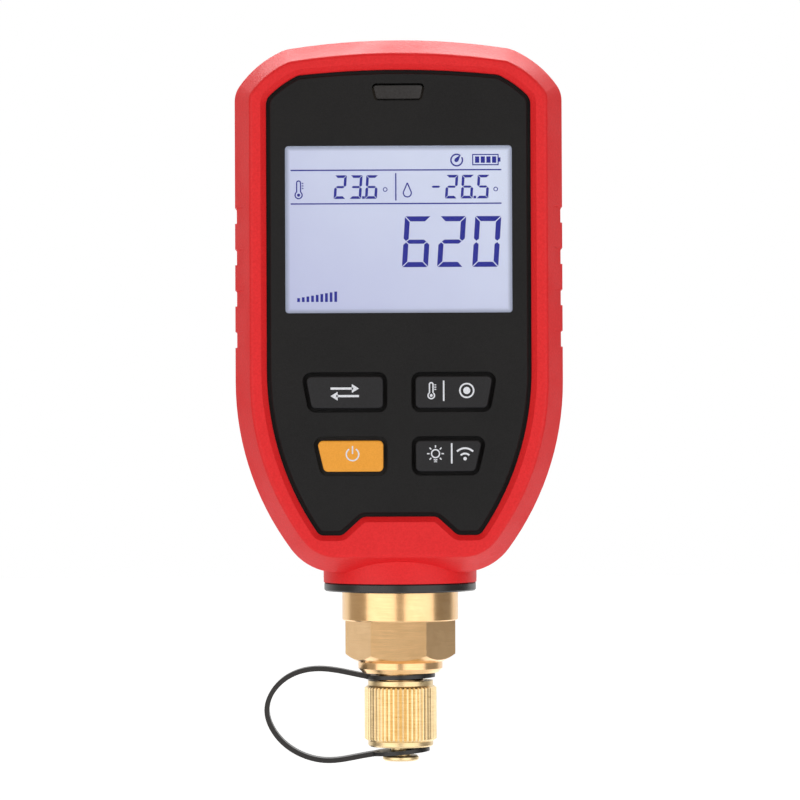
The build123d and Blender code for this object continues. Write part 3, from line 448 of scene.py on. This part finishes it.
def finish_piece(piece, material, body):
    """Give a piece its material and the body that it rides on."""
    piece.data.materials.clear()
    piece.data.materials.append(material)
    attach(piece, body)


# Seven-segment digits, each a set of lit segments with mitred ends
LIT = {
    "0": "abcdef", "1": "bc", "2": "abdeg", "3": "abcdg", "4": "bcfg",
    "5": "acdfg", "6": "acdefg", "7": "abc", "8": "abcdefg", "9": "abcdfg", "-": "g",
}


def digit(character, low_x, low_z, width, height, thick, slant=0.065):
    """Outlines of one digit's lit segments, leaning to the right by slant."""
    gap = thick * 0.13
    half = thick / 2
    blunt = half * 0.8
    top, middle, bottom = height - half, height / 2, half
    left, right = half, width - half
    level = {"a": top, "g": middle, "d": bottom}
    upright = {"f": (left, True), "b": (right, True), "e": (left, False), "c": (right, False)}
    outlines = []
    for segment in LIT[character]:
        if segment in level:
            z = level[segment]
            if segment == "g":
                points = [(left + gap, z), (left + half + gap, z + blunt), (right - half - gap, z + blunt),
                          (right - gap, z), (right - half - gap, z - blunt), (left + half + gap, z - blunt)]
            else:
                out = half if segment == "a" else -half
                outer, inner = z + out, z - out
                points = [(gap, outer), (width - gap, outer),
                          (width - thick - gap, inner), (thick + gap, inner)]
        else:
            x, upper = upright[segment]
            outer, inner = (x - half, x + half) if x == left else (x + half, x - half)
            if upper:
                points = [(outer, height - gap), (inner, height - thick - gap), (inner, middle + blunt + gap),
                          (x, middle + gap), (outer, middle + half + gap)]
            else:
                points = [(outer, gap), (inner, thick + gap), (inner, middle - blunt - gap),
                          (x, middle - gap), (outer, middle - half - gap)]
        outlines.append([(low_x + x + slant * z, low_z + z) for x, z in points])
    return outlines


def reading(text, right_x, low_z, width, height, thick, pitch):
    """Outlines of a number that ends at right_x, with its point standing between two digits."""
    outlines = []
    x = right_x - width
    for character in reversed(text):
        if character == ".":
            point_x = x + pitch - (pitch - width) * 0.75
            outlines.append(bar(point_x, low_z, point_x + thick, low_z + thick))
            continue
        outlines += digit(character, x, low_z, width, height, thick)
        x -= pitch
    return outlines


def thermometer(center, height, width):
    """A thermometer symbol: bulb, tube and three marks."""
    x, z = center
    bulb = height * 0.2
    low = z - height / 2 + bulb
    tube = bulb * 0.55
    neck = math.degrees(math.asin(tube / bulb))
    marks = [stroke((x + tube + width, z + height * k), (x + tube + 2.4 * width, z + height * k), width * 0.8)
             for k in (0.08, 0.22, 0.36)]
    return [
        arc_band((x, low), bulb, width, 90 + neck, 450 - neck),
        stroke((x - tube, low + bulb * 0.8), (x - tube, z + height / 2 - tube), width),
        stroke((x + tube, low + bulb * 0.8), (x + tube, z + height / 2 - tube), width),
        arc_band((x, z + height / 2 - tube), tube, width, 0, 180),
        disc((x, low), bulb * 0.45),
    ] + marks


def symbol_arrow(x, z, length, way, width):
    """A level arrow, pointing right where way is 1 and left where it is -1."""
    tip = x + way * length / 2
    head = 3.2 * width
    return [
        stroke((x - way * length / 2, z), (tip - way * head * 0.8, z), width),
        [(tip, z), (tip - way * head, z + head * 0.62), (tip - way * head, z - head * 0.62)],
    ]


# What the display shows: rules, numbers and plain symbols
LCD = {"face": GLASS_FRONT, "material": SEGMENTS, "body": "housing", "slot": "display_glass"}
RULE = 0.3
FINE_LINE = 0.28
DEGREE_RING = {"radius": 0.42, "width": 0.2}
BIG_DIGITS = {"width": 5.9, "height": 11.5, "thick": 1.15, "pitch": 7.95}
SMALL_DIGITS = {"width": 2.7, "height": 5.35, "thick": 0.6, "pitch": 3.55}
printed("display_rules", [
    bar(-24.4, 128.4 - RULE / 2, 23.3, 128.4 + RULE / 2),
    bar(-24.4, 120.8 - RULE / 2, 23.3, 120.8 + RULE / 2),
    bar(-0.6 - RULE / 2, 121.5, -0.6 + RULE / 2, 127.7),
], **LCD)
printed("display_main_number", reading("620", 22.5, 106.4, **BIG_DIGITS), **LCD)
printed("display_ambient_number", reading("23.6", -4.9, 121.9, **SMALL_DIGITS), **LCD)
printed("display_vapour_number", reading("-26.5", 20.3, 121.9, **SMALL_DIGITS), **LCD)
printed("display_degree_rings",
        ring((-3.0, 124.0), **DEGREE_RING) + ring((22.0, 124.0), **DEGREE_RING), **LCD)
printed("display_thermometer", thermometer((-22.6, 124.0), 4.0, FINE_LINE), **LCD)
printed("display_drop", [
    arc_band((2.0, 123.2), 0.9, FINE_LINE, 150, 390),
    stroke((1.22, 123.62), (2.0, 125.5), FINE_LINE),
    stroke((2.78, 123.62), (2.0, 125.5), FINE_LINE),
], **LCD)
printed("display_dial_symbol", [
    arc_band((13.2, 130.6), 1.3, 0.34, 60, 390),
    [(12.75, 130.9), (14.2, 131.9), (13.5, 130.25)],
    disc((13.1, 130.55), 0.42),
], **LCD)
printed("display_battery_case", [
    bar(16.7, 129.4, 22.7, 129.65),
    bar(16.7, 131.7, 22.7, 131.95),
    bar(16.7, 129.65, 16.95, 131.7),
    bar(22.45, 129.65, 22.7, 131.7),
    bar(22.7, 130.2, 23.1, 131.15),
], **LCD)

# White printing on the keys: the symbols' places and lines
PRINT = {"face": KEY_FRONT, "material": WHITE_PRINT}
LINE = 0.36
POWER_LINE = 0.32
WAVE_LINE = 0.42
ARROW = {"length": 6.4, "width": 0.5}
RECORD_DOT = (15.2, 78.4)
LAMP = (8.1, 64.2)
WAVES = (14.75, 62.85)
printed("mark_unit",
        symbol_arrow(-12.3, 78.95, way=1, **ARROW) + symbol_arrow(-12.3, 77.25, way=-1, **ARROW),
        body="unit_key", slot="key_black", **PRINT)
printed("mark_record", thermometer((7.2, 78.4), 3.6, 0.3) + [
    bar(10.0 - LINE / 2, 76.05, 10.0 + LINE / 2, 80.65),
    *ring(RECORD_DOT, 1.55, LINE),
    disc(RECORD_DOT, 0.8),
], body="record_key", slot="key_black", **PRINT)
printed("mark_power", [
    arc_band((-10.6, 64.1), 1.4, POWER_LINE, 122, 418),
    stroke((-10.6, 64.2), (-10.6, 66.0), POWER_LINE),
], body="power_key", slot="key_orange", **PRINT)
printed("mark_backlight", ring(LAMP, 0.9, 0.3) + [
    bar(7.7, 62.7, 8.5, 62.95),
    bar(7.75, 62.25, 8.45, 62.5),
    bar(11.75 - LINE / 2, 61.95, 11.75 + LINE / 2, 66.55),
    disc((14.75, 63.05), 0.4),
    arc_band(WAVES, 1.35, WAVE_LINE, 45, 135),
    arc_band(WAVES, 2.55, WAVE_LINE, 45, 135),
], body="backlight_key", slot="key_black", **PRINT)


# Geometry trees for what repeats or winds round
def new_tree(name, sizes):
    """Start a geometry tree with named inputs and one geometry output."""
    tree = bpy.data.node_groups.new(name, "GeometryNodeTree")
    tree.interface.new_socket("Geometry", in_out="OUTPUT", socket_type="NodeSocketGeometry")
    for label, value in sizes.items():
        kind = {int: "NodeSocketInt", float: "NodeSocketFloat", tuple: "NodeSocketVector"}[type(value)]
        tree.interface.new_socket(label, in_out="INPUT", socket_type=kind).default_value = value
    tree.interface.new_socket("Material", in_out="INPUT", socket_type="NodeSocketMaterial")
    return tree, tree.nodes.new("NodeGroupInput").outputs, tree.nodes.new("NodeGroupOutput")


def end_tree(tree, geometry, sizes, end):
    """Realize the instances, set the material and put the result out."""
    real = add_node(tree, "GeometryNodeRealizeInstances", {0: geometry})
    done = add_node(tree, "GeometryNodeSetMaterial", {
        "Geometry": real.outputs[0], "Material": sizes["Material"]})
    tree.links.new(done.outputs[0], end.inputs["Geometry"])
    return tree


def row_of_bars_tree():
    """Upright bars side by side, each taller than the last by Step."""
    tree, sizes, end = new_tree("Row of bars", {
        "Count": 4, "Pitch": MM, "Width": MM, "Height": MM, "Step": 0.0, "Corner": (0.0, 0.0, 0.0)})
    shift = add_node(tree, "ShaderNodeCombineXYZ", {0: sizes["Pitch"]})
    row = add_node(tree, "GeometryNodeMeshLine", {
        "Count": sizes["Count"], "Start Location": sizes["Corner"], "Offset": shift.outputs[0]})
    index = add_node(tree, "GeometryNodeInputIndex").outputs[0]
    tall = calc(tree, "MULTIPLY_ADD", index, sizes["Step"], sizes["Height"])
    size = add_node(tree, "ShaderNodeCombineXYZ", {0: sizes["Width"], 1: INK, 2: tall})
    block = add_node(tree, "GeometryNodeMeshCube", {"Size": (1.0, 1.0, 1.0)})
    seated = add_node(tree, "GeometryNodeTransform", {
        "Geometry": block.outputs[0], "Translation": (0.5, -0.5, 0.5)})
    bars = add_node(tree, "GeometryNodeInstanceOnPoints", {
        "Points": row.outputs[0], "Instance": seated.outputs[0], "Scale": size.outputs[0]})
    return end_tree(tree, bars.outputs[0], sizes, end)


def ring_of_rays_tree():
    """Short rays round a point, standing on a face that looks forward."""
    tree, sizes, end = new_tree("Ring of rays", {
        "Count": 8, "Radius": MM, "Length": MM, "Width": MM, "Center": (0.0, 0.0, 0.0)})
    hub = add_node(tree, "GeometryNodeMeshLine", {
        "Count": sizes["Count"], "Start Location": sizes["Center"], "Offset": (0.0, 0.0, 0.0)})
    size = add_node(tree, "ShaderNodeCombineXYZ", {0: sizes["Length"], 1: INK, 2: sizes["Width"]})
    block = add_node(tree, "GeometryNodeMeshCube", {"Size": size.outputs[0]})
    half = calc(tree, "MULTIPLY_ADD", sizes["Length"], 0.5, sizes["Radius"])
    seat = add_node(tree, "ShaderNodeCombineXYZ", {0: half, 1: -INK / 2})
    seated = add_node(tree, "GeometryNodeTransform", {
        "Geometry": block.outputs[0], "Translation": seat.outputs[0]})
    index = add_node(tree, "GeometryNodeInputIndex").outputs[0]
    step = calc(tree, "DIVIDE", 2 * math.pi, sizes["Count"])
    turn = calc(tree, "MULTIPLY", index, step)
    spin = add_node(tree, "ShaderNodeCombineXYZ", {1: turn})
    rays = add_node(tree, "GeometryNodeInstanceOnPoints", {
        "Points": hub.outputs[0], "Instance": seated.outputs[0], "Rotation": spin.outputs[0]})
    return end_tree(tree, rays.outputs[0], sizes, end)


def thread_tree():
    """A thread ridge wound round the port's axis, fading out over a fortieth of its length at both ends."""
    tree, sizes, end = new_tree("Thread ridge", {
        "Low": 0.0, "Length": 10 * MM, "Pitch": MM, "Radius": 5 * MM, "Depth": MM})
    turns = calc(tree, "DIVIDE", sizes["Length"], sizes["Pitch"])
    helix = add_node(tree, "GeometryNodeCurveSpiral", {
        "Resolution": 60, "Rotations": turns, "Start Radius": sizes["Radius"], "End Radius": sizes["Radius"],
        "Height": sizes["Length"]})
    factor = add_node(tree, "GeometryNodeSplineParameter").outputs["Factor"]
    ends = calc(tree, "MINIMUM", factor, calc(tree, "SUBTRACT", 1.0, factor))
    fade = calc(tree, "MINIMUM", 1.0, calc(tree, "MULTIPLY_ADD", ends, 40.0, 0.05))
    level = add_node(tree, "GeometryNodeSetCurveNormal", {"Curve": helix.outputs[0]}, mode="Z_UP")
    across = calc(tree, "MULTIPLY", sizes["Depth"], 2.0)
    half_tall = calc(tree, "MULTIPLY", sizes["Pitch"], 0.47)
    section = add_node(tree, "GeometryNodeCurvePrimitiveQuadrilateral",
                       {"Width": across, "Bottom Height": half_tall, "Top Height": half_tall}, mode="KITE")
    ridge = add_node(tree, "GeometryNodeCurveToMesh", {
        "Curve": level.outputs[0], "Profile Curve": section.outputs[0], "Scale": fade, "Fill Caps": True})
    rise = add_node(tree, "ShaderNodeCombineXYZ", {2: sizes["Low"]})
    placed = add_node(tree, "GeometryNodeTransform", {
        "Geometry": ridge.outputs[0], "Translation": rise.outputs[0]})
    return end_tree(tree, placed.outputs[0], sizes, end)


def grown(name, tree, sizes, material, body):
    """Run a geometry tree with its sizes and make a plain mesh piece of the result."""
    seed = link_object(name + "_seed", bpy.data.meshes.new(name + "_seed"))
    modifier = seed.modifiers.new(tree.name, "NODES")
    modifier.node_group = tree
    for socket in tree.interface.items_tree:
        if socket.in_out == "INPUT" and socket.name in sizes:
            modifier[socket.identifier] = sizes[socket.name]
        elif socket.in_out == "INPUT" and socket.name == "Material":
            modifier[socket.identifier] = material
    mesh = bpy.data.meshes.new_from_object(seed.evaluated_get(bpy.context.evaluated_depsgraph_get()))
    bpy.data.objects.remove(seed)
    finish_piece(link_object(name, mesh), material, body)


ROW_OF_BARS = row_of_bars_tree()
RING_OF_RAYS = ring_of_rays_tree()
THREAD_RIDGE = thread_tree()

grown("display_battery_bars", ROW_OF_BARS,
      {"Count": 4, "Pitch": 1.28 * MM, "Width": 0.95 * MM, "Height": 1.45 * MM,
       "Corner": (17.35 * MM, GLASS_FRONT, 129.95 * MM)}, SEGMENTS, "housing")
grown("display_level_bars", ROW_OF_BARS,
      {"Count": 9, "Pitch": 1.05 * MM, "Width": 0.62 * MM, "Height": 0.9 * MM, "Step": 0.18 * MM,
       "Corner": (-23.0 * MM, GLASS_FRONT, 98.6 * MM)}, SEGMENTS, "housing")
grown("mark_backlight_rays", RING_OF_RAYS,
      {"Count": 8, "Radius": 1.35 * MM, "Length": 0.55 * MM, "Width": 0.28 * MM,
       "Center": (LAMP[0] * MM, KEY_FRONT, LAMP[1] * MM)}, WHITE_PRINT, "backlight_key")
grown("port_thread", THREAD_RIDGE,
      {"Low": 2.9 * MM, "Length": 9.6 * MM, "Pitch": THREAD_PITCH, "Radius": THREAD_RADIUS,
       "Depth": THREAD_DEPTH}, BRASS, "housing")
grown("cap_thread", THREAD_RIDGE,
      {"Low": 3.4 * MM, "Length": 7.6 * MM, "Pitch": THREAD_PITCH, "Radius": THREAD_RADIUS + 0.15 * MM,
       "Depth": 0.8 * THREAD_DEPTH}, KNURLED_BRASS, "cap")


# Floor, light and camera
def floor():
    """A pale floor well below the hanging gauge, white to the camera apart from its shadow."""
    mesh = bpy.data.meshes.new("floor")
    low, high = -FLOOR_REACH, FLOOR_REACH
    corners = [(x, y, FLOOR_LEVEL) for x, y in ((low, low), (high, low), (high, high), (low, high))]
    mesh.from_pydata(corners, [], [(0, 1, 2, 3)])
    material, tree, shader = new_material("Pale floor", Roughness=0.9)
    place = place_on(tree)
    mottle = add_node(tree, "ShaderNodeTexNoise", {"Vector": place, "Scale": 3.0, "Detail": 2.0})
    tree.links.new(blend_colors(tree, mottle.outputs["Fac"], (0.78, 0.78, 0.78), (0.82, 0.82, 0.82)),
                   shader.inputs["Base Color"])
    tree.links.new(seen_floor(tree, place, FLOOR_GLOW), shader.inputs["Emission Strength"])
    shader.inputs["Emission Color"].default_value = (1, 1, 1, 1)
    mesh.materials.append(material)
    link_object("floor", mesh)


def behind(tree, way):
    """From 0 beside the gauge to 1 behind it, for a direction from its middle."""
    parts = add_node(tree, "ShaderNodeSeparateXYZ", {0: way}).outputs
    back = calc(tree, "MULTIPLY_ADD", parts["X"], WALL_LEAN, parts["Y"])
    return spread(tree, back, 0, 1, WALL_STARTS, WALL_FULL)


def seen_floor(tree, place, strength):
    """The floor's glow: full for the camera and glass, growing to the back for metal, none as lighting."""
    path = add_node(tree, "ShaderNodeLightPath").outputs
    way = add_node(tree, "ShaderNodeVectorMath", {0: place}, operation="NORMALIZE").outputs[0]
    mirrored = calc(tree, "MULTIPLY", path["Is Glossy Ray"], spread(tree, behind(tree, way), 0.25, 1))
    seen = calc(tree, "MAXIMUM", path["Is Camera Ray"], path["Is Transmission Ray"])
    return calc(tree, "MULTIPLY", calc(tree, "MAXIMUM", seen, mirrored), strength)


def studio():
    """White to the camera and behind the gauge; in front dim, and in metal warm and dark at the right."""
    world = bpy.data.worlds.new("Studio")
    scene.world = world
    world.use_nodes = True
    tree = world.node_tree
    backdrop = tree.nodes["Background"]
    way = add_node(tree, "ShaderNodeTexCoord").outputs["Generated"]
    path = add_node(tree, "ShaderNodeLightPath").outputs
    wall = calc(tree, "MAXIMUM", behind(tree, way), path["Is Camera Ray"])
    across = add_node(tree, "ShaderNodeSeparateXYZ", {0: way}).outputs["X"]
    to_right = spread(tree, across, 0, 1, 0.35, 0.85)
    mirrored = blend_colors(tree, to_right, (0.43, 0.335, 0.24), (0.06, 0.03, 0.015))
    room = blend_colors(tree, path["Is Glossy Ray"], (0.16, 0.16, 0.16), mirrored)
    tree.links.new(blend_colors(tree, wall, room, (1, 1, 1)), backdrop.inputs["Color"])
    backdrop.inputs["Strength"].default_value = 1.0


def soft_box(name, place, width, height, power):
    """A rectangular soft light that shines at the gauge's middle."""
    light = bpy.data.lights.new(name, "AREA")
    light.shape = "RECTANGLE"
    light.size = width
    light.size_y = height
    light.energy = power
    lamp = link_object(name, light)
    lamp.location = place
    lamp.rotation_euler = (Vector(GAUGE_MIDDLE) - Vector(place)).to_track_quat("-Z", "Y").to_euler()
    lamp.visible_camera = False


def look_from_photograph():
    """The camera, at the photograph's distance, height and roll."""
    data = bpy.data.cameras.new("camera")
    data.sensor_width = CAMERA_SENSOR
    data.lens = CAMERA_LENS
    data.clip_start = 0.01
    camera = link_object("camera", data)
    camera.location = (0, -CAMERA_DISTANCE, CAMERA_HEIGHT)
    aim = Vector(CAMERA_AIM) - camera.location
    camera.rotation_euler = aim.to_track_quat("-Z", "Y").to_euler()
    camera.rotation_euler.rotate_axis("Z", math.radians(CAMERA_ROLL))
    scene.camera = camera


floor()
studio()
soft_box("front_box_left", (-0.40, -0.50, 0.14), **FRONT_BOX)
soft_box("front_box_right", (0.40, -0.50, 0.14), **FRONT_BOX)
soft_box("top_box", (0, 0.35, 0.75), **TOP_BOX)
look_from_photograph()
